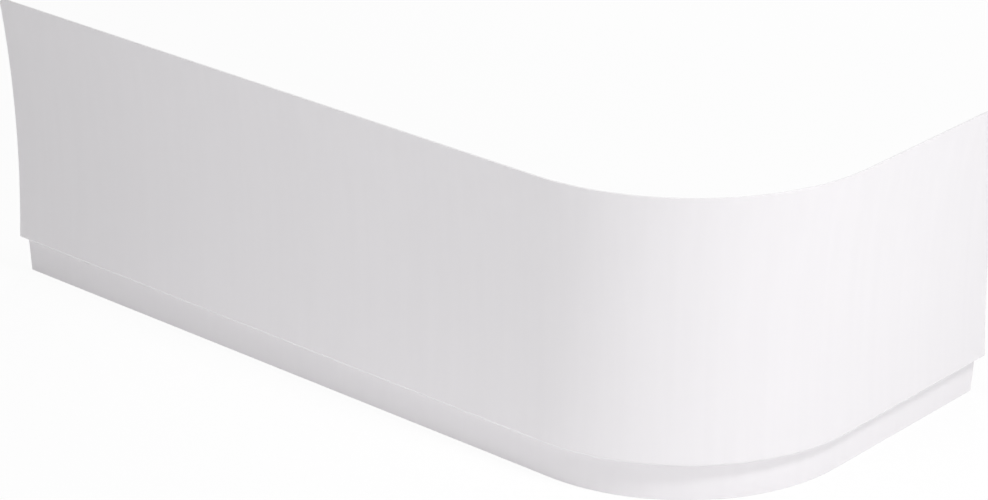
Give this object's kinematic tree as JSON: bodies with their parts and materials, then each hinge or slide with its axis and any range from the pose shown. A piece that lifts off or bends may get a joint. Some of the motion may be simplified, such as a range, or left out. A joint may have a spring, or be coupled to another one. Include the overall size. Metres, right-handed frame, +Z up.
{
  "type": "bath panel",
  "caption": "L-shaped moulded bath panel: a long front, rounded corner and short end in a continuous flared, bowed skin above a recessed toe plinth; hides the space under a bath's rim.",
  "frame": {"origin": "on the floor, at the centre of the panel's outline", "axes": "+Z up; +X along the long front towards the rounded corner; the long front faces -Y and the short end faces +X"},
  "size_m": [1.7, 0.8, 0.565],
  "materials": {
    "white_acrylic": "gloss white outside, plain satin sheet behind"
  },
  "bodies": {
    "root": {"bath_panel": "white_acrylic"}
  },
  "joints": []
}
